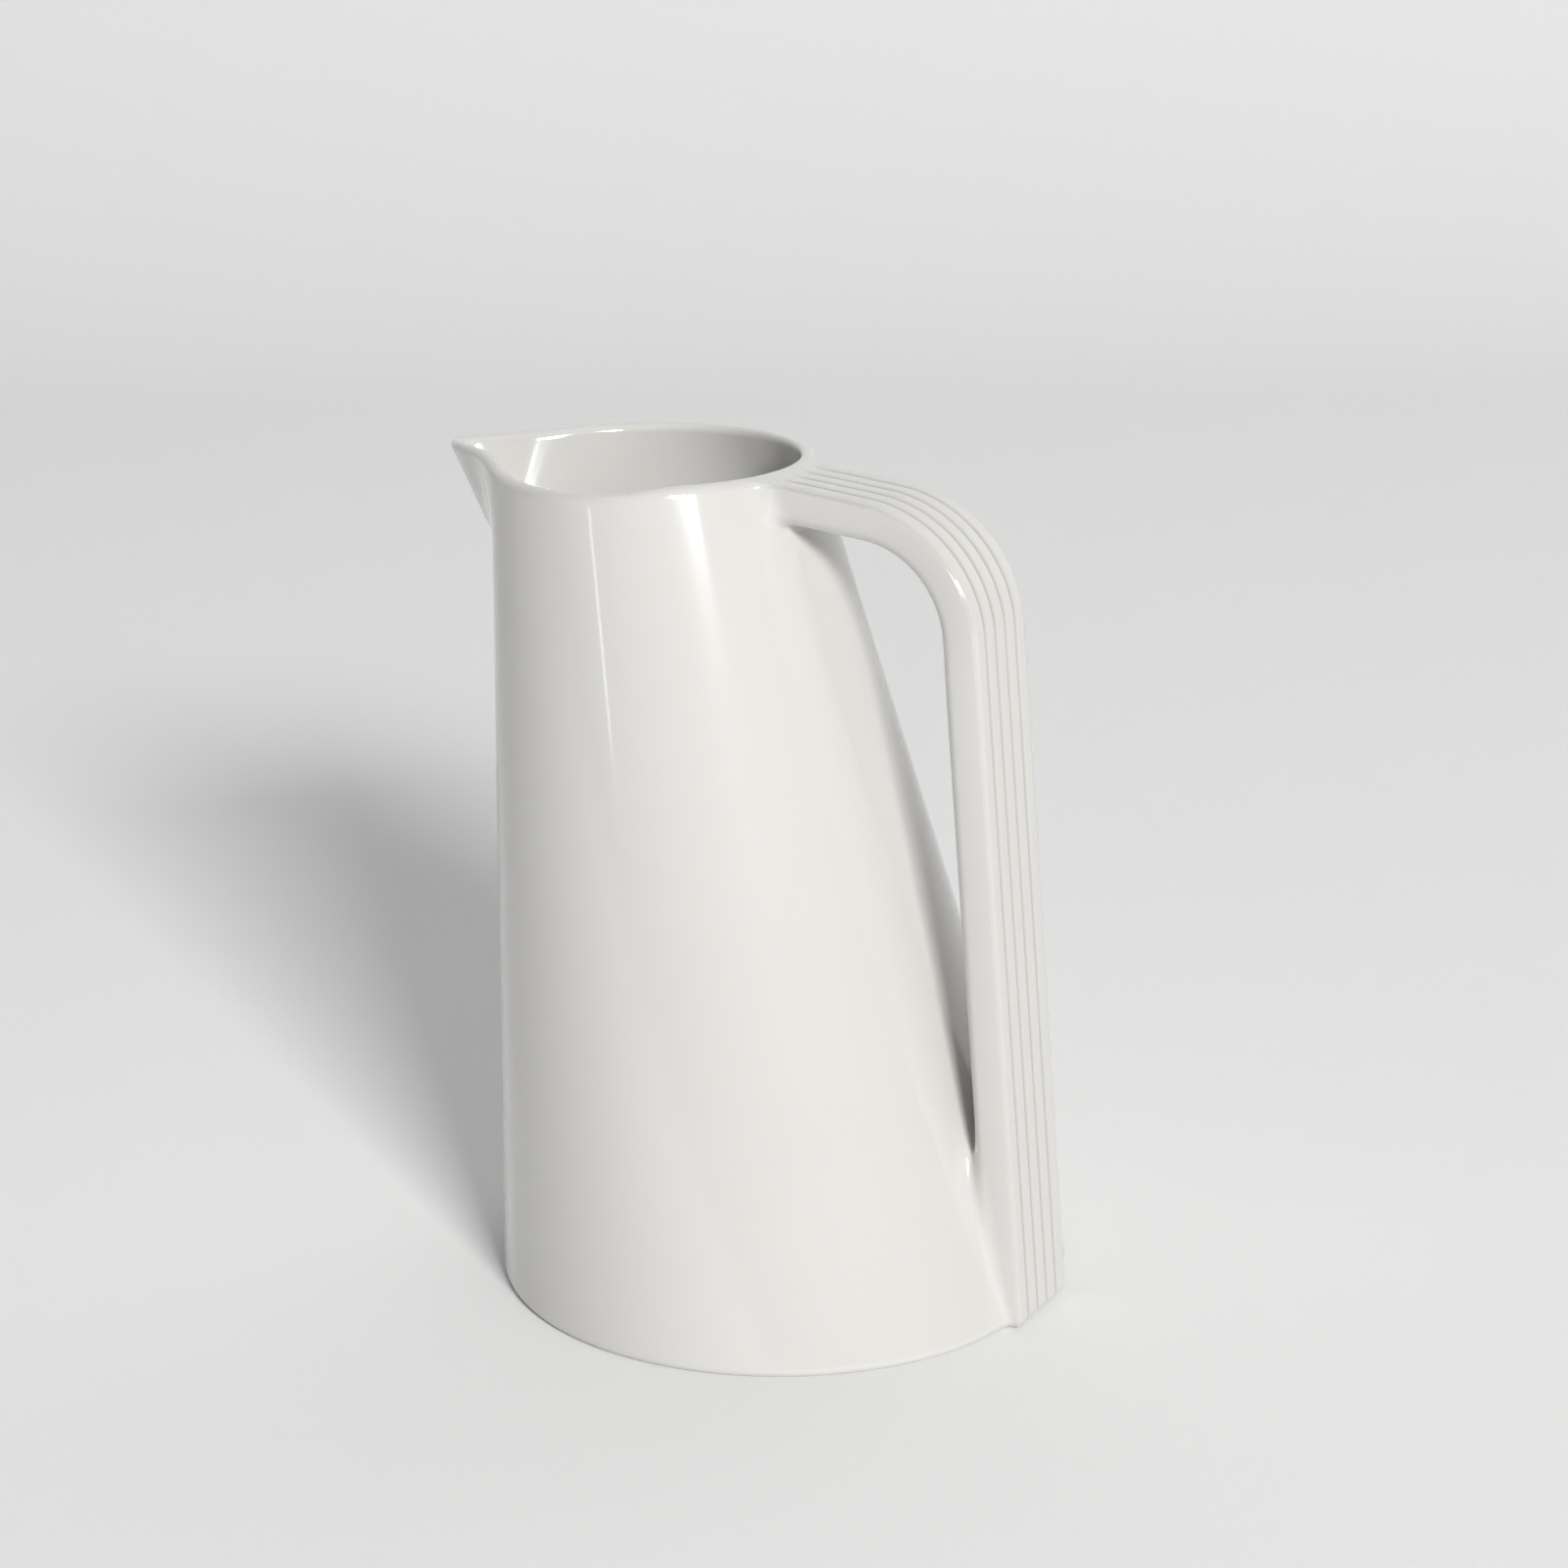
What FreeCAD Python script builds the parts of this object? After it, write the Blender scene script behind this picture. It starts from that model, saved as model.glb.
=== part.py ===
import FreeCAD, Part
import math
import os
from FreeCAD import Vector

# A glazed ceramic pitcher with a leaning conical body, a pinched spout and a ribbed strap handle.
# The origin is the centre of the round base, on the surface the pitcher stands on.
# +Z is up, the spout points along -X and the handle along +X. Millimetres.

# Body
height = 220.0
base_radius = 77.0
rim_radius = 42.3
rim_shift = -37.3           # the rim's centre, from the base's centre, towards the spout
wall = 4.4
floor_thickness = 6.0
base_edge_radius = 2.0
lip_radius = 1.9
lip_opening = 3.8           # how far the mouth's edge stands inside the body's outer form

# Spout
spout_reach = 22.6          # from the front of the rim to the tip
spout_half_angle = 39.0     # degrees, between the spout's centre plane and each flank
spout_wall = 3.8
nose_radius = 4.8
ridge_fall = 0.53           # the front ridge draws in by this much for each unit of drop
spout_drop = 60.0           # height of the tool solid, which ends inside the body
spout_root = 17.0           # how far behind the front of the rim the tool solid reaches
lip_droop = 5.0             # degrees, the spout's lip falls away from the rim
droop_start = 5.0           # how far behind the front of the rim the lip begins to fall

# Handle
handle_width = 27.8
handle_thickness = 10.6
arm_start_x = 5.0           # back of the rim
arm_start_z = 219.3
arm_slope = 5.5             # degrees, the arm falls away from the rim
foot_x = 78.8               # outer face at the foot
leg_lean = 4.4              # degrees, the leg leans outwards towards the foot
bend_radius = 36.0          # of the outer face
rib_count = 5
rib_crown = 0.7
side_crown = 0.9
inner_corner = 3.2

# Slip joints between handle and body
collar_spread = 12.0
collar_edge = 0.4
collar_lead = 10.0
collar_length = 24.0
collar_rings = 4
web_spread = 8.0
web_top_spread = 0.5
web_top = 51.0
web_reach = 12.0
web_edge = 0.6
side_depth = 5.5

# Tool solids
inside_body = 25.0          # how far the handle's tool solid runs into the body before it is trimmed
below_floor = 20.0          # how far it runs past the standing surface before it is trimmed
above_rim = 1.0             # how far the mouth's tool solid stands over the rim
trim_length = 400.0
trim_width = 300.0
trim_height = 60.0
same_height = 0.01

ORIGIN = Vector(0, 0, 0)
ACROSS = Vector(0, 1, 0)
UP = Vector(0, 0, 1)
half_chord = math.sqrt(0.5)


def body_radius(z):
    return base_radius + (rim_radius - base_radius) * z / height


def body_centre_x(z):
    return rim_shift * z / height


def ring(radius, z):
    return Part.Wire(Part.makeCircle(radius, Vector(body_centre_x(z), 0, z), UP))


def leaning_cone(inset, z_low, z_high):
    """The body's leaning cone, drawn in by inset, between two heights."""
    rings = [ring(body_radius(z) - inset, z) for z in (z_low, z_high)]
    return Part.makeLoft(rings, True, True)


def edges_at(shape, z):
    def is_level(box):
        return abs(box.ZMin - z) < same_height and abs(box.ZMax - z) < same_height

    return [edge for edge in shape.Edges if is_level(edge.BoundBox)]


def outer_form():
    """The body's full outer form, with its rounded base and rim edges."""
    form = leaning_cone(0.0, 0.0, height)
    form = form.makeFillet(base_edge_radius, edges_at(form, 0.0))
    return form.makeFillet(lip_radius, edges_at(form, height))


def cavity():
    """The hollow inside the wall, opened a little at the lip."""
    shoulder = height - wall
    hollow = leaning_cone(wall, floor_thickness, shoulder)
    lower = ring(body_radius(shoulder) - wall, shoulder)
    upper = ring(rim_radius - lip_opening, height + above_rim)
    return hollow.fuse(Part.makeLoft([lower, upper], True, True))


def beak(inset):
    """A slanting prism with a V section and a rounded nose: the spout's outer or inner form."""
    angle = math.radians(spout_half_angle)
    radius = nose_radius - inset
    nose_x = rim_shift - rim_radius - spout_reach + nose_radius
    root_x = rim_shift - rim_radius + spout_root
    touch_x = nose_x - radius * math.sin(angle)
    touch_y = radius * math.cos(angle)
    root_y = touch_y + (root_x - touch_x) * math.tan(angle)
    corners = [Vector(x, y, height) for x, y in
               ((root_x, root_y), (touch_x, touch_y), (touch_x, -touch_y), (root_x, -root_y))]
    outline = Part.Wire([
        Part.makeLine(corners[0], corners[1]),
        Part.Arc(corners[1], Vector(nose_x - radius, 0, height), corners[2]).toShape(),
        Part.makeLine(corners[2], corners[3]),
        Part.makeLine(corners[3], corners[0]),
    ])
    return Part.Face(outline).extrude(Vector(ridge_fall * spout_drop, 0, -spout_drop))


def above_spout_lip():
    """The space above the spout's drooping lip."""
    block = Part.makeBox(trim_length, trim_width, trim_height, Vector(-trim_length, -trim_width / 2, 0))
    block.rotate(ORIGIN, ACROSS, -lip_droop)
    block.translate(Vector(rim_shift - rim_radius + droop_start, 0, height))
    return block


def spout(form, channel):
    return beak(0.0).cut(form).cut(channel).cut(above_spout_lip())


def base_floor():
    """The floor slab, which fills the wall's foot and carries the bare standing face."""
    return leaning_cone(wall, 0.0, floor_thickness)


def body_wall(form, hollow, slab, channel):
    return form.cut(hollow).cut(slab).cut(channel)


def handle_section(place, outward):
    """The strap's outline at one point: ribs outside, crowned sides and a rounded inside."""
    half = handle_width / 2
    pitch = handle_width / rib_count
    side_end = handle_thickness - inner_corner
    side_middle = (rib_crown + side_end) / 2
    bulge = inner_corner * (1 - half_chord)

    def at(y, depth):
        return place + ACROSS * y - outward * depth

    def arc(first, middle, last):
        return Part.Arc(at(*first), at(*middle), at(*last)).toShape()

    edges = []
    for i in range(rib_count):
        y = -half + i * pitch
        edges.append(arc((y, rib_crown), (y + pitch / 2, 0), (y + pitch, rib_crown)))
    for side in (1, -1):
        step = (side * half, rib_crown)
        crown = (side * (half + side_crown), side_middle)
        turn_in = (side * half, side_end)
        turn_middle = (side * (half - bulge), handle_thickness - bulge)
        turn_out = (side * (half - inner_corner), handle_thickness)
        edges.append(arc(step, crown, turn_in))
        edges.append(arc(turn_in, turn_middle, turn_out))
    flat = half - inner_corner
    edges.append(Part.makeLine(at(flat, handle_thickness), at(-flat, handle_thickness)))
    return Part.Wire(Part.sortEdges(edges)[0])


def arm_direction():
    slope = math.radians(arm_slope)
    return Vector(math.cos(slope), 0, -math.sin(slope))


def leg_direction():
    lean = math.radians(leg_lean)
    return Vector(math.sin(lean), 0, -math.cos(lean))


def arm_outward():
    """Square to the arm, out of its ribbed face."""
    arm = arm_direction()
    return Vector(-arm.z, 0, arm.x)


def arm_root():
    """A point of the arm's outer face, inside the body."""
    return Vector(arm_start_x, 0, arm_start_z) - arm_direction() * inside_body


def handle_route():
    """The middle line of the handle's outer face: arm, bend and leg."""
    arm = arm_direction()
    leg = leg_direction()
    start = Vector(arm_start_x, 0, arm_start_z)
    foot = Vector(foot_x, 0, 0)
    gap = foot - start
    reach = (gap.x * leg.z - gap.z * leg.x) / (arm.x * leg.z - arm.z * leg.x)
    corner = start + arm * reach
    turn = arm.getAngle(leg)
    tangent = bend_radius * math.tan(turn / 2)
    bend_in = corner - arm * tangent
    bend_out = corner + leg * tangent
    inward = (leg - arm).normalize()
    bend_middle = corner + inward * (bend_radius / math.cos(turn / 2) - bend_radius)
    return Part.Wire([
        Part.makeLine(arm_root(), bend_in),
        Part.Arc(bend_in, bend_middle, bend_out).toShape(),
        Part.makeLine(bend_out, foot + leg * below_floor),
    ])


def strap():
    return handle_route().makePipeShell([handle_section(arm_root(), arm_outward())], True, False)


def collar_section(place, outward, grow):
    """A plain U-shaped outline around the arm, wider and deeper than the arm by grow."""
    half = handle_width / 2 + side_crown + grow
    bottom = handle_thickness + grow
    corner = inner_corner + grow
    bulge = corner * (1 - half_chord)
    level = bottom - corner
    flat = half - corner

    def at(y, depth):
        return place + ACROSS * y - outward * depth

    return Part.Wire([
        Part.makeLine(at(-half, rib_crown), at(half, rib_crown)),
        Part.makeLine(at(half, rib_crown), at(half, level)),
        Part.Arc(at(half, level), at(half - bulge, bottom - bulge), at(flat, bottom)).toShape(),
        Part.makeLine(at(flat, bottom), at(-flat, bottom)),
        Part.Arc(at(-flat, bottom), at(bulge - half, bottom - bulge), at(-half, level)).toShape(),
        Part.makeLine(at(-half, level), at(-half, rib_crown)),
    ])


def upper_joint(form, arm_solid):
    """The flared collar of slip around the arm's root."""
    start = arm_root() + arm_direction() * (inside_body - collar_lead)
    rings = []
    for i in range(collar_rings):
        part = i / (collar_rings - 1)
        grow = collar_spread * (1 - part) ** 2 + collar_edge
        rings.append(collar_section(start + arm_direction() * (collar_length * part), arm_outward(), grow))
    return Part.makeLoft(rings, True, False).cut(form).cut(arm_solid)


def web_section(z, spread):
    """A waisted outline across the leg and into the body at one height."""
    face_x = foot_x - z * math.tan(math.radians(leg_lean))
    outer_x = face_x - rib_crown - side_depth
    inner_x = body_centre_x(z) + body_radius(z) - web_reach
    waist_x = outer_x + (inner_x - outer_x) / 3
    half = handle_width / 2 - web_edge
    waist = half + spread / 4
    wide = half + spread

    def arc(side):
        outer = Vector(outer_x, side * half, z)
        return Part.Arc(outer, Vector(waist_x, side * waist, z), Vector(inner_x, side * wide, z)).toShape()

    back = Part.makeLine(Vector(inner_x, wide, z), Vector(inner_x, -wide, z))
    front = Part.makeLine(Vector(outer_x, -half, z), Vector(outer_x, half, z))
    return Part.Wire([arc(1), back, arc(-1), front])


def lower_joint(form, leg_solid):
    """The slip that fills the wedge between leg and body and blends its sides."""
    wedge = Part.makeLoft([web_section(0.0, web_spread), web_section(web_top, web_top_spread)], True, True)
    return wedge.cut(form).cut(leg_solid)


def main():
    os.makedirs("parts", exist_ok=True)
    form = outer_form()
    channel = beak(spout_wall)
    slab = base_floor()
    handle = strap()
    keep = Part.makeBox(trim_length, trim_width, height, Vector(-trim_length / 2, -trim_width / 2, 0))
    pieces = {
        "body_wall": body_wall(form, cavity(), slab, channel),
        "base_floor": slab,
        "spout": spout(form, channel),
        "handle": handle.cut(form).common(keep),
        "upper_handle_joint": upper_joint(form, handle).common(keep),
        "lower_handle_joint": lower_joint(form, handle).common(keep),
    }
    for name, shape in pieces.items():
        shape.exportStep("parts/" + name + ".step")


main()
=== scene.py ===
import math

import bpy
import numpy as np
from mathutils import Matrix, Vector


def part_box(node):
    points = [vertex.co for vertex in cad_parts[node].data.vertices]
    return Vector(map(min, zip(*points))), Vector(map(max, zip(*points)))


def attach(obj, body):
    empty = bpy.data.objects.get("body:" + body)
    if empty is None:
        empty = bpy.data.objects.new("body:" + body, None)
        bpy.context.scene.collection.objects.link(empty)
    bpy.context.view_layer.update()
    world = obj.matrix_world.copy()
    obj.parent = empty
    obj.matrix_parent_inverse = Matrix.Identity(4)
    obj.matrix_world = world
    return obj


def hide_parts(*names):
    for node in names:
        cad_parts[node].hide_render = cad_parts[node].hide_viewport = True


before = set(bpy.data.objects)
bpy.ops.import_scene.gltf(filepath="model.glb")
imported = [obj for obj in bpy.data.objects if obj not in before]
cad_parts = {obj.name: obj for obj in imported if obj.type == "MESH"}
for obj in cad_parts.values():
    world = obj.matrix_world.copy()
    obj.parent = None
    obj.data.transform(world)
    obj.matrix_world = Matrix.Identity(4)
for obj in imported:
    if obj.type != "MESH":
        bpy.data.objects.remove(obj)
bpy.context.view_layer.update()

MM = 0.001

# ---------------------------------------------------------------- sizes in millimetres, angles in degrees
# x runs from the spout to the handle, y across, and z up from the standing face.

# Body: a cone whose rim is shifted towards the spout.
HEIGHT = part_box("body_wall")[1].z / MM
BASE_RADIUS = 76.9
RIM_RADIUS = 42.3
RIM_SHIFT = -37.3
WALL = 4.2
FLOOR = 6.0
FLOOR_FILLET = 10.0
LIP_RADIUS = 2.05
BASE_EDGE = 2.2

# The lip dips along a stretch of its near side, at a turn measured round the rim from the handle.
RIM_DIP = 2.3
RIM_DIP_TURN = math.radians(-98.0)
RIM_DIP_SPREAD = math.radians(37.0)

# Spout: a rounded V, seen from above, whose tip runs back by SPOUT_FALL for each millimetre below the tip.
SPOUT_ANGLE = math.radians(32.0)
SPOUT_TIP = -101.4
SPOUT_TIP_Z = 218.0
SPOUT_FALL = 0.55
SPOUT_NOSE = 4.8
SPOUT_END = -68.0
SPOUT_BLEND = 9.0
SPOUT_DROOP = 0.07
SPOUT_DROOP_START = -74.0
SPOUT_CLOSING = 0.05

# Handle: a strap along an arm, a bend and a leg. Its outer face passes through ARM_X, ARM_Z on the arm, and the
# line of the leg's face meets the ground at FOOT_X.
HANDLE_HALF = 13.9
HANDLE_THICKNESS = 10.6
ARM_X = 5.0
ARM_Z = 219.3
ARM_SLOPE = math.radians(5.5)
FOOT_X = 78.6
LEG_LEAN = math.radians(4.4)
BEND_RADIUS = 36.0

# The strap's outer face has ribs that fade in along RIB_START, and its sides bulge, widest at some depth.
RIBS = 5
RIB_CROWN = 0.6
GROOVE_SHARPNESS = 6
RIB_START = (4.0, 12.0)
BEND_HEIGHTS = (165.0, 212.0)
SIDE_BULGE = 0.6
SIDE_HOLLOW = -1.5
ARM_SIDE_WIDEST = 1.0
LEG_SIDE_WIDEST = 6.0
SIDE_SPREAD = 6.5
OUTER_CORNER = 0.5
INNER_CORNER = 3.2
STRAP_START = -3.0

# How widely the strap blends into the body, and how round its foot is.
ROOT_BLEND = 4.0
ROOT_SIDE_BLEND = 6.0
ROOT_SIDE = (HANDLE_HALF - 4.0, HANDLE_HALF + 2.0)
LEG_BLEND = 7.0
FOOT_BLEND = 2.0
FOOT_BLEND_TOP = 45.0
FOOT_EDGE = 3.4
FOOT_EDGE_RUN = (68.0, 76.0)

# Glaze pools in the grooves over the outer face, and less towards the strap's sides. The darkening there is
# part pooled glaze and part painted shade in the grooves.
POOL_AND_SHADE_DEPTH = (RIB_CROWN, 2.0 * RIB_CROWN)
POOL_AND_SHADE_SIDE = (HANDLE_HALF - 2.0, HANDLE_HALF - 0.5)
POOL_AND_SHADE_LOSS = 0.7

# Where one piece ends and the next begins.
FLOOR_MARGIN = 0.2
FLOOR_CUT = FLOOR + 2.0
SLIP_DEPTH = 2.1
SLIP_ROOT = 10.0
SLIP_FOOT = 2.2
SLIP_HEIGHTS = (80.0, 150.0)
FOOT_CUT = 14.0
CUT_CORNER = 2.5
ROOT_PRINT_HALF = 21.0
ROOT_PRINT_BOTTOM = 198.0
FOOT_PRINT_HALF = 19.5
FOOT_PRINT_TOP = 62.0
PRINT_CORNER = 6.0
BACK_HALF = -15.0
WALL_REACH = 3.0


# ---------------------------------------------------------------- the form, as distances, below 0 inside
def round_max(a, b, r):
    """Where both shapes hold, with the edge between them rounded to radius r."""
    return np.minimum(np.maximum(a, b), -r) + np.hypot(np.maximum(a + r, 0.0), np.maximum(b + r, 0.0))


def smooth_min(a, b, k):
    """Where either shape holds, with the corner between them filled over a width k."""
    h = np.maximum(k - np.abs(a - b), 0.0) / k
    return np.minimum(a, b) - h * h * k / 4.0


def ease(low, high, v):
    """From 0 at low to 1 at high, level at both ends."""
    t = np.clip((v - low) / (high - low), 0.0, 1.0)
    return t * t * (3.0 - 2.0 * t)


def cone(p):
    """Distance from the body's leaning cone."""
    x, y, z = p[..., 0], p[..., 1], p[..., 2]
    away = x - RIM_SHIFT * z / HEIGHT
    r = np.hypot(away, y) + 1e-9
    taper = (BASE_RADIUS - RIM_RADIUS) / HEIGHT
    rise = taper - away / r * RIM_SHIFT / HEIGHT
    return (r - BASE_RADIUS + taper * z) / np.sqrt(1.0 + rise * rise)


def beak(p):
    """Distance from the spout's V-shaped outside."""
    x, y, z = p[..., 0], p[..., 1], p[..., 2]
    s, c = math.sin(SPOUT_ANGLE), math.cos(SPOUT_ANGLE)
    apex = SPOUT_TIP + SPOUT_FALL * (SPOUT_TIP_Z - z) - SPOUT_NOSE * c / s
    across = np.sqrt(y * y + SPOUT_NOSE * SPOUT_NOSE)
    steep = np.sqrt((y / across * c) ** 2 + s * s * (1.0 + SPOUT_FALL ** 2))
    past = np.maximum(x - SPOUT_END, 0.0)
    return (across * c - (x - apex) * s) / steep + SPOUT_CLOSING * past * past


def rim_level(p):
    """Height of the lip's crest, a little uneven, and falling along the spout."""
    turn = np.arctan2(p[..., 1], p[..., 0] - RIM_SHIFT)
    dip = RIM_DIP * np.exp(-((turn - RIM_DIP_TURN) / RIM_DIP_SPREAD) ** 4)
    run = np.maximum(SPOUT_DROOP_START - p[..., 0], 0.0)
    return HEIGHT - dip - SPOUT_DROOP * run


def handle_lines():
    """Directions of the handle's arm and leg, and the centre of the bend between them, as x and z."""
    arm = np.array([math.cos(ARM_SLOPE), -math.sin(ARM_SLOPE)])
    leg = np.array([math.sin(LEG_LEAN), -math.cos(LEG_LEAN)])
    start = np.array([ARM_X, ARM_Z])
    gap = np.array([FOOT_X, 0.0]) - start
    reach = (gap[0] * leg[1] - gap[1] * leg[0]) / (arm[0] * leg[1] - arm[1] * leg[0])
    corner = start + arm * reach
    turn = math.acos(float(arm @ leg))
    into = corner - arm * BEND_RADIUS * math.tan(turn / 2)
    centre = into - np.array([-arm[1], arm[0]]) * BEND_RADIUS
    return arm, leg, centre


ARM, LEG, BEND = handle_lines()


def handle_depth(p):
    """Depth under the handle's outer face, along its arm, bend and leg."""
    qx, qz = p[..., 0] - BEND[0], p[..., 2] - BEND[1]
    on_arm = qx * ARM[0] + qz * ARM[1] < 0.0
    on_leg = qx * LEG[0] + qz * LEG[1] > 0.0
    arm_depth = BEND_RADIUS + qx * ARM[1] - qz * ARM[0]
    leg_depth = BEND_RADIUS + qx * LEG[1] - qz * LEG[0]
    bend_depth = BEND_RADIUS - np.hypot(qx, qz)
    straight = np.where(on_arm, arm_depth, leg_depth)
    straight = np.where(on_arm & on_leg, np.minimum(arm_depth, leg_depth), straight)
    return np.where(on_arm | on_leg, straight, bend_depth)


def groove_share(p):
    """How near a point is to the bottom of a groove between two ribs, from 0 to 1."""
    rib = (p[..., 1] + HANDLE_HALF) / (2.0 * HANDLE_HALF / RIBS)
    off = np.where(np.abs(p[..., 1]) < HANDLE_HALF, np.abs(2.0 * (rib - np.floor(rib)) - 1.0), 1.0)
    return off ** GROOVE_SHARPNESS * ease(*RIB_START, p[..., 0])


def strap(p, depth):
    """Distance from the ribbed strap."""
    x, y = p[..., 0], p[..., 1]
    groove = RIB_CROWN * groove_share(p)
    widest = LEG_SIDE_WIDEST + (ARM_SIDE_WIDEST - LEG_SIDE_WIDEST) * ease(*BEND_HEIGHTS, p[..., 2])
    bulge = SIDE_BULGE * (1.0 - ((depth - widest) / SIDE_SPREAD) ** 2)
    side = np.abs(y) - HANDLE_HALF - np.maximum(bulge, SIDE_HOLLOW)
    section = round_max(side, depth - HANDLE_THICKNESS, INNER_CORNER)
    section = round_max(section, groove - depth, OUTER_CORNER)
    return np.maximum(section, STRAP_START - x)


def form(p):
    """Distance from the whole glazed pitcher."""
    x, y, z = p[..., 0], p[..., 1], p[..., 2]
    side = smooth_min(cone(p), beak(p), SPOUT_BLEND)
    sideways = ease(*ROOT_SIDE, np.abs(y))
    root_blend = ROOT_BLEND + (ROOT_SIDE_BLEND - ROOT_BLEND) * sideways
    leg_blend = FOOT_BLEND + (LEG_BLEND - FOOT_BLEND) * ease(0.0, FOOT_BLEND_TOP, z)
    foot_edge = BASE_EDGE + (FOOT_EDGE - BASE_EDGE) * ease(*FOOT_EDGE_RUN, x)
    outer = smooth_min(side, strap(p, handle_depth(p)), np.where(z > HEIGHT / 2, root_blend, leg_blend))
    outer = round_max(outer, z - rim_level(p), LIP_RADIUS)
    outer = round_max(outer, -z, foot_edge)
    hollow = round_max(side + WALL, FLOOR - z, FLOOR_FILLET)
    return round_max(outer, -hollow, LIP_RADIUS)


def pooling_and_groove_shade(p):
    """How much glaze has run together, with painted shade added on top: most in the grooves between the ribs.
    """
    # Painted shade: this share darkens the grooves' colour as well as marking pooled glaze.
    near_face = 1.0 - ease(*POOL_AND_SHADE_DEPTH, handle_depth(p))
    at_side = ease(*POOL_AND_SHADE_SIDE, np.abs(p[..., 1]))
    return groove_share(p) * near_face * (1.0 - POOL_AND_SHADE_LOSS * at_side)


# ---------------------------------------------------------------- the pieces' regions, below 0 inside
def spout_part(p):
    """The beak, as far as it stands out of the body's cone."""
    return beak(p) - cone(p)


def floor_part(p):
    """The slab inside the wall's inner face."""
    return np.maximum(cone(p) + WALL + FLOOR_MARGIN, p[..., 2] - FLOOR_CUT)


def handle_part(p):
    """The strap outside and above the slips."""
    slip = SLIP_FOOT + (SLIP_ROOT - SLIP_FOOT) * ease(*SLIP_HEIGHTS, p[..., 2])
    return round_max(slip - cone(p), FOOT_CUT - p[..., 2], CUT_CORNER)


def root_print(p):
    """The patch of wall under the slip at the rim."""
    patch = round_max(np.abs(p[..., 1]) - ROOT_PRINT_HALF, ROOT_PRINT_BOTTOM - p[..., 2], PRINT_CORNER)
    return np.maximum(patch, BACK_HALF - p[..., 0])


def foot_print(p):
    """The patch of wall under the slip at the foot."""
    patch = round_max(np.abs(p[..., 1]) - FOOT_PRINT_HALF, p[..., 2] - FOOT_PRINT_TOP, PRINT_CORNER)
    return np.maximum(patch, BACK_HALF - p[..., 0])


def root_part(p):
    """The slip at the rim, let a little into the wall."""
    return np.maximum(np.maximum(-handle_part(p), -SLIP_DEPTH - cone(p)), root_print(p))


def foot_part(p):
    """The slip at the foot, let a little into the wall."""
    return np.maximum(np.maximum(-handle_part(p), -SLIP_DEPTH - cone(p)), foot_print(p))


def wall_part(p):
    """The body's wall, less what the spout, the floor and the slips take."""
    skin = cone(p)
    slips = np.minimum(root_print(p), foot_print(p))
    inlay = np.maximum(slips, -SLIP_DEPTH - skin)
    others = np.minimum(np.minimum(spout_part(p), floor_part(p)), inlay)
    return np.maximum(-others, skin - WALL_REACH)


# ---------------------------------------------------------------- from distances to closed meshes
# Every piece is the form inside the piece's own region, so its surface is partly the form and partly a cut.
NUDGE = 0.04
SETTLE_STEPS = 5
LONGEST_STEP = 1.0
LEAST_DETERMINANT = 0.02
FACE_SPARE = 0.45
SEAM_SPARE = 0.9
FARTHEST_SPLIT = 0.4
ON_FORM, ON_CUT = 1, 2
AXES = np.eye(3)
CORNERS = np.array([[i, j, k] for i in (0, 1) for j in (0, 1) for k in (0, 1)])
CELL_EDGES = [(a, b) for a in range(8) for b in range(a + 1, 8)
              if np.abs(CORNERS[a] - CORNERS[b]).sum() == 1]


def slope(field, p):
    """Gradient of a field at points."""
    return np.stack([(field(p + NUDGE * a) - field(p - NUDGE * a)) / (2.0 * NUDGE) for a in AXES], -1)


def settle(p, part, surface, cut):
    """Moves points onto the form, onto the cut, or onto the line where both meet."""
    p = p.copy()
    for _ in range(SETTLE_STEPS):
        f, g = np.zeros(len(p)), np.zeros(len(p))
        df, dg = np.zeros((len(p), 3)), np.zeros((len(p), 3))
        f[surface], df[surface] = form(p[surface]), slope(form, p[surface])
        g[cut], dg[cut] = part(p[cut]), slope(part, p[cut])
        ff, gg, fg = (df * df).sum(-1), (dg * dg).sum(-1), (df * dg).sum(-1)
        ff, gg = np.where(surface, ff, 1.0), np.where(cut, gg, 1.0)
        det = np.maximum(ff * gg - fg * fg, LEAST_DETERMINANT)
        a = (f * gg - g * fg) / det
        b = (g * ff - f * fg) / det
        p -= np.clip(a[:, None] * df + b[:, None] * dg, -LONGEST_STEP, LONGEST_STEP)
    return p


def sample(part, grid):
    """The form and the piece's region at every grid point."""
    xs, ys, zs = grid
    shape = (len(xs), len(ys), len(zs))
    f, g = np.empty(shape), np.empty(shape)
    for i, x in enumerate(xs):
        p = np.stack(np.meshgrid([x], ys, zs, indexing="ij"), -1)[0]
        f[i], g[i] = form(p), part(p)
    return f, g


def crossed_cells(inside):
    """The grid cells that the surface passes through, and a grid of their numbers."""
    nx, ny, nz = inside.shape
    count = sum(inside[i:nx - 1 + i, j:ny - 1 + j, k:nz - 1 + k].astype(np.int8) for i, j, k in CORNERS)
    cells = np.argwhere((count > 0) & (count < 8))
    number = np.full(count.shape, -1, np.int64)
    number[tuple(cells.T)] = np.arange(len(cells))
    return cells, number


def form_leads(fa, fb, ga, gb, t):
    """Whether a crossing at share t of a grid edge is on the form rather than on the cut."""
    return fa + (fb - fa) * t >= ga + (gb - ga) * t


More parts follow.
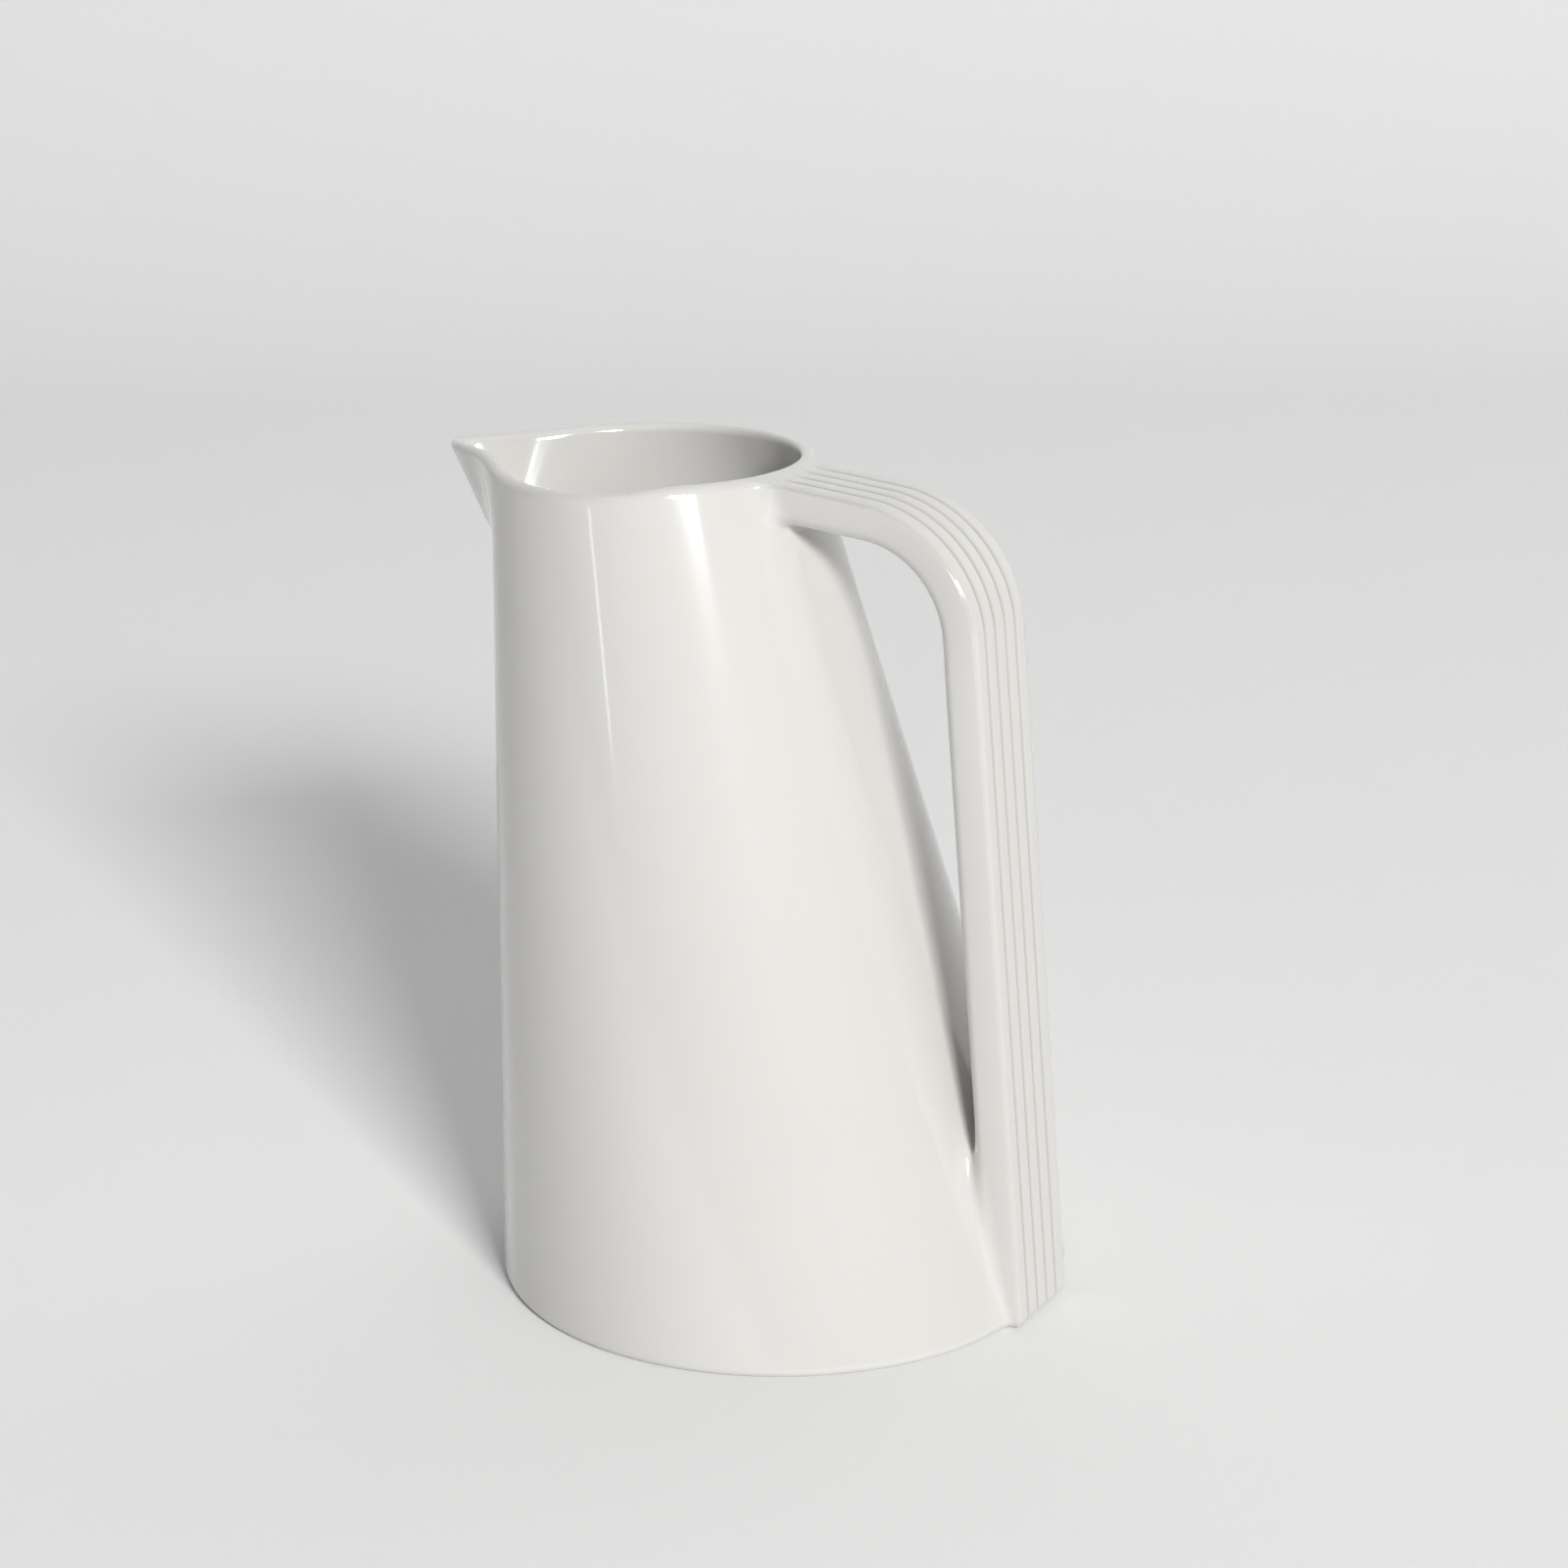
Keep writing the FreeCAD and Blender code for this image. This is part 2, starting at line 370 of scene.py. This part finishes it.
def cell_points(part, f, g, cells, grid):
    """One surface point in each cell."""
    v = np.maximum(f, g)
    inside = v < 0.0
    total = np.zeros((len(cells), 3))
    hits = np.zeros(len(cells))
    on_form = np.zeros(len(cells), bool)
    on_cut = np.zeros(len(cells), bool)
    for a, b in CELL_EDGES:
        ia, ib = tuple((cells + CORNERS[a]).T), tuple((cells + CORNERS[b]).T)
        crossed = inside[ia] != inside[ib]
        with np.errstate(divide="ignore", invalid="ignore"):
            t = np.where(crossed, v[ia] / (v[ia] - v[ib]), 0.0)
        pa = np.stack([grid[n][ia[n]] for n in range(3)], -1)
        pb = np.stack([grid[n][ib[n]] for n in range(3)], -1)
        total += np.where(crossed[:, None], pa + (pb - pa) * t[:, None], 0.0)
        hits += crossed
        leads = form_leads(f[ia], f[ib], g[ia], g[ib], t)
        on_form |= crossed & leads
        on_cut |= crossed & ~leads
    points = settle(total / hits[:, None], part, on_form, on_cut)
    low = np.stack([grid[n][cells[:, n]] for n in range(3)], -1)
    high = np.stack([grid[n][cells[:, n] + 1] for n in range(3)], -1)
    spare = (high - low) * np.where(on_form & on_cut, SEAM_SPARE, FACE_SPARE)[:, None]
    return np.clip(points, low - spare, high + spare)


def cell_triangles(f, g, number, points):
    """Two triangles round each grid edge that the surface crosses, cut along the shorter diagonal."""
    inside = np.maximum(f, g) < 0.0
    triangles, kinds = [], []
    for axis in range(3):
        u, w = (axis + 1) % 3, (axis + 2) % 3
        here, there = [slice(1, -1)] * 3, [slice(1, -1)] * 3
        here[axis], there[axis] = slice(0, -1), slice(1, None)
        fa, fb = f[tuple(here)], f[tuple(there)]
        ga, gb = g[tuple(here)], g[tuple(there)]
        a_in, b_in = inside[tuple(here)], inside[tuple(there)]
        spots = np.argwhere(a_in != b_in)
        at = tuple(spots.T)
        va, vb = np.maximum(fa[at], ga[at]), np.maximum(fb[at], gb[at])
        leads = form_leads(fa[at], fb[at], ga[at], gb[at], va / (va - vb))
        ring = []
        for du, dw in ((0, 0), (1, 0), (1, 1), (0, 1)):
            cell = spots.copy()
            cell[:, u] += du
            cell[:, w] += dw
            ring.append(number[tuple(cell.T)])
        quad = np.stack(ring, -1)
        flip = ~a_in[at]
        quad[flip] = quad[flip][:, ::-1]
        one_way = np.linalg.norm(points[quad[:, 0]] - points[quad[:, 2]], axis=-1)
        other_way = np.linalg.norm(points[quad[:, 1]] - points[quad[:, 3]], axis=-1)
        shorter = (one_way <= other_way)[:, None]
        triangles.append(np.where(shorter, quad[:, [0, 1, 2]], quad[:, [1, 2, 3]]))
        triangles.append(np.where(shorter, quad[:, [0, 2, 3]], quad[:, [1, 3, 0]]))
        kinds += [np.where(leads, ON_FORM, ON_CUT)] * 2
    return np.concatenate(triangles), np.concatenate(kinds)


def net(part, grid):
    """The closed surface of the form inside one region: points, triangles, and which surface each is on."""
    f, g = sample(part, grid)
    cells, number = crossed_cells(np.maximum(f, g) < 0.0)
    points = cell_points(part, f, g, cells, grid)
    return points, *cell_triangles(f, g, number, points)


def refine(part, points, triangles, kinds, tolerance, shortest):
    """Splits the triangles where the surface curves away from them."""
    sides = np.sort(np.stack([triangles, np.roll(triangles, -1, 1)], -1), -1)
    keys = sides[..., 0] * len(points) + sides[..., 1]
    unique, index = np.unique(keys, return_inverse=True)
    index = index.reshape(-1, 3)
    ends = np.stack([unique // len(points), unique % len(points)], -1)
    on_form = np.bincount(index.ravel(), np.repeat(kinds == ON_FORM, 3), len(unique)) > 0
    on_cut = np.bincount(index.ravel(), np.repeat(kinds == ON_CUT, 3), len(unique)) > 0
    span = points[ends[:, 1]] - points[ends[:, 0]]
    length = np.linalg.norm(span, axis=-1)
    worth = np.flatnonzero(on_form & (length > shortest))
    middle = points[ends[worth]].mean(1)
    worth = worth[np.abs(form(middle)) > 0.5 * tolerance]
    middle = points[ends[worth]].mean(1)
    moved = settle(middle, part, on_form[worth], on_cut[worth])
    off = np.linalg.norm(moved - middle, axis=-1)
    chosen = (off > tolerance) & (off < FARTHEST_SPLIT * length[worth])
    made = np.full(len(unique), -1, np.int64)
    made[worth[chosen]] = len(points) + np.arange(chosen.sum())
    points = np.concatenate([points, moved[chosen]])
    mid = made[index]
    split = mid >= 0
    number = split.sum(1)
    turn = np.zeros(len(triangles), np.int64)
    one, two = number == 1, number == 2
    turn[one] = np.argmax(split[one], 1)
    turn[two] = (np.argmin(split[two], 1) + 1) % 3
    order = (turn[:, None] + np.arange(3)) % 3
    a, b, c = np.take_along_axis(triangles, order, 1).T
    ab, bc, ca = np.take_along_axis(mid, order, 1).T
    patterns = [[(a, b, c)],
                [(a, ab, c), (ab, b, c)],
                [(ab, b, bc), (a, ab, bc), (a, bc, c)],
                [(a, ab, ca), (ab, b, bc), (ca, bc, c), (ab, bc, ca)]]
    out, out_kinds = [], []
    for splits, pattern in enumerate(patterns):
        for corners in pattern:
            out.append(np.stack(corners, -1)[number == splits])
            out_kinds.append(kinds[number == splits])
    return points, np.concatenate(out), np.concatenate(out_kinds)


def graded(*runs):
    """Grid lines from several runs of (end, step), starting at the first number."""
    lines = [np.array([runs[0]])]
    for end, step in runs[1:]:
        start = lines[-1][-1]
        lines.append(np.linspace(start, end, max(int(round((end - start) / step)), 1) + 1)[1:])
    return np.concatenate(lines)


def unit(vectors):
    return vectors / (np.linalg.norm(vectors, axis=-1, keepdims=True) + 1e-12)


def make_piece(name, part, *plan):
    """One closed mesh: smooth normals from the form, flat ones on the cuts, and where its glaze pools and its
    grooves get painted shade.
    """
    *grid, passes, tolerance, shortest = plan
    points, triangles, kinds = net(part, grid)
    for _ in range(passes):
        points, triangles, kinds = refine(part, points, triangles, kinds, tolerance, shortest)
    mesh = bpy.data.meshes.new(name)
    mesh.vertices.add(len(points))
    mesh.vertices.foreach_set("co", (points * MM).astype(np.float32).ravel())
    mesh.loops.add(len(triangles) * 3)
    mesh.loops.foreach_set("vertex_index", triangles.ravel().astype(np.int32))
    mesh.polygons.add(len(triangles))
    mesh.polygons.foreach_set("loop_start", np.arange(0, len(triangles) * 3, 3, dtype=np.int32))
    mesh.update(calc_edges=True)
    mesh.shade_smooth()
    corner = points[triangles]
    soft = unit(slope(form, points))
    flat = unit(np.cross(corner[:, 1] - corner[:, 0], corner[:, 2] - corner[:, 0]))
    normals = np.where((kinds == ON_FORM)[:, None, None], soft[triangles], flat[:, None, :])
    mesh.normals_split_custom_set(normals.reshape(-1, 3).tolist())
    # Share of pooled glaze and painted groove shade at each point, read by the glaze.
    pooled_and_shaded = mesh.attributes.new("pooling_and_groove_shade", "FLOAT", "POINT")
    pooled_and_shaded.data.foreach_set("value", pooling_and_groove_shade(points).astype(np.float32))
    piece = bpy.data.objects.new(name, mesh)
    bpy.context.scene.collection.objects.link(piece)
    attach(piece, "root")
    return piece


def rib_lines(reach, step):
    """Grid planes across the handle, closest at the grooves, with each groove in the middle of a cell."""
    pitch = 2.0 * HANDLE_HALF / RIBS
    offsets = np.array([0.12, 0.36, 0.75, 1.35, 2.05])
    grooves = (np.arange(RIBS + 1) - RIBS / 2.0) * pitch
    crests = grooves[1:] - pitch / 2.0
    beside = [(grooves[:, None] + side * offsets).ravel() for side in (1.0, -1.0)]
    ribs = np.concatenate([*beside, crests])
    ribs = np.sort(ribs[np.abs(ribs) < HANDLE_HALF - 0.3])
    edge = HANDLE_HALF + np.array([0.0, 0.3, 0.6])
    outside = np.concatenate([edge, np.arange(HANDLE_HALF + 1.0, reach, step)])
    return np.concatenate([-outside[::-1], ribs, outside])


# Each piece: the CAD node it stands for, its region, its grid in x, y and z, how often its mesh is refined,
# how far an edge's middle may be off the surface before it is split, and the shortest edge that is split.
PIECES = {
    "body_wall_glazed": ("body_wall", wall_part, graded(-84.0, (-66.0, 1.0), (-4.0, 2.2), (80.0, 1.3)),
                         graded(-80.0, (-24.0, 2.2), (24.0, 1.3), (80.0, 2.2)),
                         graded(-3.0, (170.0, 2.3), (223.0, 1.3)),
                         2, 0.03, 0.6),
    "base_floor_slab": ("base_floor", floor_part, graded(-80.0, (80.0, 2.0)), graded(-80.0, (80.0, 2.0)),
                        graded(-2.5, (12.0, 1.2)), 1, 0.03, 0.6),
    "spout_beak": ("spout", spout_part, graded(-104.0, (-60.0, 0.9)), graded(-30.0, (30.0, 0.9)),
                   graded(165.0, (223.0, 0.9)), 2, 0.02, 0.3),
    "handle_strap": ("handle", handle_part, graded(8.0, (82.0, 0.95)), rib_lines(18.0, 0.8),
                     graded(10.0, (223.0, 0.95)), 2, 0.02, 0.3),
    "upper_joint_slip": ("upper_handle_joint", root_part, graded(-4.0, (24.0, 0.7)), rib_lines(24.0, 0.7),
                         graded(190.0, (223.0, 0.7)), 2, 0.02, 0.3),
    "lower_joint_slip": ("lower_handle_joint", foot_part, graded(40.0, (84.0, 0.7)), rib_lines(23.0, 0.7),
                         graded(-2.5, (68.0, 0.7)), 2, 0.02, 0.3),
}


# ---------------------------------------------------------------- materials
NOISE_MIDDLE = (0.3, 0.7)
WHITE_GLAZE = ((0.600, 0.595, 0.574, 1.0), (0.610, 0.606, 0.585, 1.0))
# Colour for the grooves: part pooled glaze, part painted shade.
POOLED_GLAZE_AND_GROOVE_SHADE = (0.330, 0.312, 0.285, 1.0)
LEAST_UPWARD = 0.1
BARE_CLAY = ((0.62, 0.56, 0.47, 1.0), (0.74, 0.68, 0.59, 1.0))


def node(tree, kind, **values):
    """A new node, with values for its sockets or for its settings."""
    made = tree.nodes.new(kind)
    for key, value in values.items():
        if key in made.inputs:
            made.inputs[key].default_value = value
        else:
            setattr(made, key, value)
    return made


def noise(tree, place, scale, detail):
    made = node(tree, "ShaderNodeTexNoise", Scale=scale, Detail=detail)
    tree.links.new(place.outputs["Object"], made.inputs["Vector"])
    return made.outputs["Fac"]


def spread(tree, source, low, high):
    """Stretches the middle of a noise to run from low to high."""
    made = node(tree, "ShaderNodeMapRange")
    made.inputs["From Min"].default_value, made.inputs["From Max"].default_value = NOISE_MIDDLE
    made.inputs["To Min"].default_value = low
    made.inputs["To Max"].default_value = high
    tree.links.new(source, made.inputs["Value"])
    return made.outputs["Result"]


def mix_colours(tree, share, first, second):
    """Goes from the first colour to the second with the share. The first may be a node's output."""
    made = node(tree, "ShaderNodeMix", data_type="RGBA")
    # The node has sockets of the same names for numbers and for colours, so these go by their place.
    factor, colour_a, colour_b = made.inputs[0], made.inputs[6], made.inputs[7]
    tree.links.new(share, factor)
    if isinstance(first, tuple):
        colour_a.default_value = first
    else:
        tree.links.new(first, colour_a)
    colour_b.default_value = second
    return made.outputs[2]


def bump(tree, source, strength, distance):
    made = node(tree, "ShaderNodeBump", Strength=strength, Distance=distance)
    tree.links.new(source, made.inputs["Height"])
    return made


def glaze_shader(tree, place):
    """White glaze: slightly uneven, darker where it pools and where painted shade lies in the grooves, with a
    broad sheen under a clear coat.
    """
    shader = node(tree, "ShaderNodeBsdfPrincipled")
    shader.inputs["IOR"].default_value = 1.52
    shader.inputs["Coat Weight"].default_value = 0.5
    shader.inputs["Coat Roughness"].default_value = 0.04
    patches = spread(tree, noise(tree, place, 14.0, 3.0), 0.0, 1.0)
    pooled_and_shaded = node(tree, "ShaderNodeAttribute", attribute_name="pooling_and_groove_shade")
    tint = mix_colours(tree, patches, *WHITE_GLAZE)
    # Painted shade: the grooves are darkened here, together with the glaze that pools in them.
    tint = mix_colours(tree, pooled_and_shaded.outputs["Fac"], tint, POOLED_GLAZE_AND_GROOVE_SHADE)
    tree.links.new(tint, shader.inputs["Base Color"])
    gloss = spread(tree, noise(tree, place, 25.0, 2.0), 0.10, 0.13)
    tree.links.new(gloss, shader.inputs["Roughness"])
    swell = bump(tree, noise(tree, place, 45.0, 1.0), 0.05, 0.0006)
    grain = bump(tree, noise(tree, place, 900.0, 2.0), 0.02, 0.0001)
    tree.links.new(swell.outputs["Normal"], grain.inputs["Normal"])
    tree.links.new(grain.outputs["Normal"], shader.inputs["Normal"])
    tree.links.new(swell.outputs["Normal"], shader.inputs["Coat Normal"])
    return shader


def clay_shader(tree, place):
    """Bare fired clay: matt, warm and finely grained."""
    shader = node(tree, "ShaderNodeBsdfPrincipled")
    shader.inputs["IOR"].default_value = 1.45
    mottle = noise(tree, place, 220.0, 6.0)
    tint = mix_colours(tree, spread(tree, mottle, 0.0, 1.0), *BARE_CLAY)
    tree.links.new(tint, shader.inputs["Base Color"])
    tree.links.new(spread(tree, mottle, 0.75, 0.92), shader.inputs["Roughness"])
    grain = bump(tree, noise(tree, place, 1400.0, 4.0), 0.4, 0.0002)
    tree.links.new(grain.outputs["Normal"], shader.inputs["Normal"])
    return shader


def material(name, bare_below):
    """Glaze all over, or glaze on the faces that look up and bare clay on the rest."""
    made = bpy.data.materials.new(name)
    made.use_nodes = True
    tree = made.node_tree
    tree.nodes.clear()
    place = node(tree, "ShaderNodeTexCoord")
    shader = glaze_shader(tree, place)
    out = node(tree, "ShaderNodeOutputMaterial")
    if not bare_below:
        tree.links.new(shader.outputs["BSDF"], out.inputs["Surface"])
        return made
    facing = node(tree, "ShaderNodeNewGeometry")
    split = node(tree, "ShaderNodeSeparateXYZ")
    up = node(tree, "ShaderNodeMath", operation="GREATER_THAN")
    up.inputs[1].default_value = LEAST_UPWARD
    mix = node(tree, "ShaderNodeMixShader")
    tree.links.new(facing.outputs["True Normal"], split.inputs["Vector"])
    tree.links.new(split.outputs["Z"], up.inputs[0])
    tree.links.new(up.outputs["Value"], mix.inputs["Fac"])
    tree.links.new(clay_shader(tree, place).outputs["BSDF"], mix.inputs[1])
    tree.links.new(shader.outputs["BSDF"], mix.inputs[2])
    tree.links.new(mix.outputs["Shader"], out.inputs["Surface"])
    return made


glaze = material("white_glaze", False)
floor_finish = material("glaze_over_bare_clay", True)
for name, (cad_node, *plan) in PIECES.items():
    piece = make_piece(name, *plan)
    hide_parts(cad_node)
    bare = cad_node == "base_floor"
    piece.data.materials.append(floor_finish if bare else glaze)


# ---------------------------------------------------------------- studio, in metres and radians
FLOOR_REACH = 12.0
SWEEP_BACK = 1.2
SWEEP_RADIUS = 1.2
SWEEP_POINTS = 33
LIGHT_AIM = Vector((0.0, 0.0, 0.2))
SKY_COLOUR = (0.985, 0.975, 1.0, 1.0)
SKY_STRENGTH = 0.09
VIEW_TURN = math.radians(29.75)
VIEW_YAW = math.radians(0.06)
VIEW_PITCH = math.radians(17.2)
VIEW_ROLL = math.radians(0.58)
VIEW_BACK = 0.91104
VIEW_HEIGHT = 0.41680
SENSOR_WIDTH_MM = 36.0
LENS_MM = 83.062935

# Each light: bearing and height angle in degrees, distance, width, height, power in watts, and colour.
LIGHTS = {
    "key": (-40.5, 24.8, 7.0, 1.8, 1.2, 490.0, (1.0, 0.995, 0.985)),
    "window": (-36.5, 18.9, 7.0, 1.25, 0.39, 24.0, (1.0, 1.0, 1.0)),
    "strip": (-106.0, 5.0, 5.0, 0.07, 0.6, 1.1, (1.0, 1.0, 1.0)),
    "overhead": (-60.0, 80.0, 5.0, 5.0, 5.0, 41.0, (1.0, 0.995, 1.0)),
}


def floor():
    """A pale floor that curves up behind the pitcher."""
    curve = [(SWEEP_BACK + SWEEP_RADIUS * math.sin(a), SWEEP_RADIUS * (1.0 - math.cos(a)))
             for a in np.linspace(0.0, math.pi / 2, SWEEP_POINTS)]
    depth_run = [(-FLOOR_REACH, 0.0), *curve, (SWEEP_BACK + SWEEP_RADIUS, FLOOR_REACH)]
    turned = Matrix.Rotation(VIEW_TURN, 3, "Z")
    points, faces = [], []
    for y, z in depth_run:
        points += [turned @ Vector((-FLOOR_REACH, y, z)), turned @ Vector((FLOOR_REACH, y, z))]
    for i in range(len(depth_run) - 1):
        faces.append((2 * i, 2 * i + 1, 2 * i + 3, 2 * i + 2))
    mesh = bpy.data.meshes.new("floor")
    mesh.from_pydata(points, [], faces)
    mesh.shade_smooth()
    made = bpy.data.objects.new("floor", mesh)
    bpy.context.scene.collection.objects.link(made)
    finish = bpy.data.materials.new("paper")
    finish.use_nodes = True
    shader = finish.node_tree.nodes["Principled BSDF"]
    shader.inputs["Base Color"].default_value = (0.86, 0.86, 0.86, 1.0)
    shader.inputs["Roughness"].default_value = 0.9
    shader.inputs["Specular IOR Level"].default_value = 0.1
    mesh.materials.append(finish)


def soft_light(name, turn, rise, away, wide, high, power, tone):
    """A soft box that faces the upper part of the pitcher from a bearing, a height angle and a distance."""
    data = bpy.data.lights.new(name, "AREA")
    data.shape = "RECTANGLE"
    data.size, data.size_y = wide, high
    data.energy = power
    data.color = tone
    turn, rise = math.radians(turn), math.radians(rise)
    out = Vector((math.cos(turn) * math.cos(rise), math.sin(turn) * math.cos(rise), math.sin(rise)))
    made = bpy.data.objects.new(name, data)
    made.location = LIGHT_AIM + out * away
    made.rotation_euler = out.to_track_quat("Z", "Y").to_euler()
    bpy.context.scene.collection.objects.link(made)


def camera():
    """The camera at the photograph's viewing angle."""
    turned = Matrix.Rotation(VIEW_TURN, 3, "Z")
    sy, cy = math.sin(VIEW_YAW), math.cos(VIEW_YAW)
    sp, cp = math.sin(VIEW_PITCH), math.cos(VIEW_PITCH)
    right = turned @ Vector((cy, -sy, 0.0))
    up = turned @ Vector((sy * sp, cy * sp, cp))
    back = -(turned @ Vector((sy * cp, cy * cp, -sp)))
    axes = Matrix((right, up, back)).transposed() @ Matrix.Rotation(-VIEW_ROLL, 3, "Z")
    data = bpy.data.cameras.new("camera")
    data.sensor_width = SENSOR_WIDTH_MM
    data.lens = LENS_MM
    made = bpy.data.objects.new("camera", data)
    made.matrix_world = Matrix.Translation(turned @ Vector((0.0, -VIEW_BACK, VIEW_HEIGHT))) @ axes.to_4x4()
    bpy.context.scene.collection.objects.link(made)
    bpy.context.scene.camera = made


def sky():
    """A faint even light from all round."""
    world = bpy.data.worlds.new("world")
    world.use_nodes = True
    background = world.node_tree.nodes["Background"]
    background.inputs["Color"].default_value = SKY_COLOUR
    background.inputs["Strength"].default_value = SKY_STRENGTH
    bpy.context.scene.world = world


camera()
floor()
sky()
for name, settings in LIGHTS.items():
    soft_light(name, *settings)
bpy.context.scene.view_settings.view_transform = "Standard"
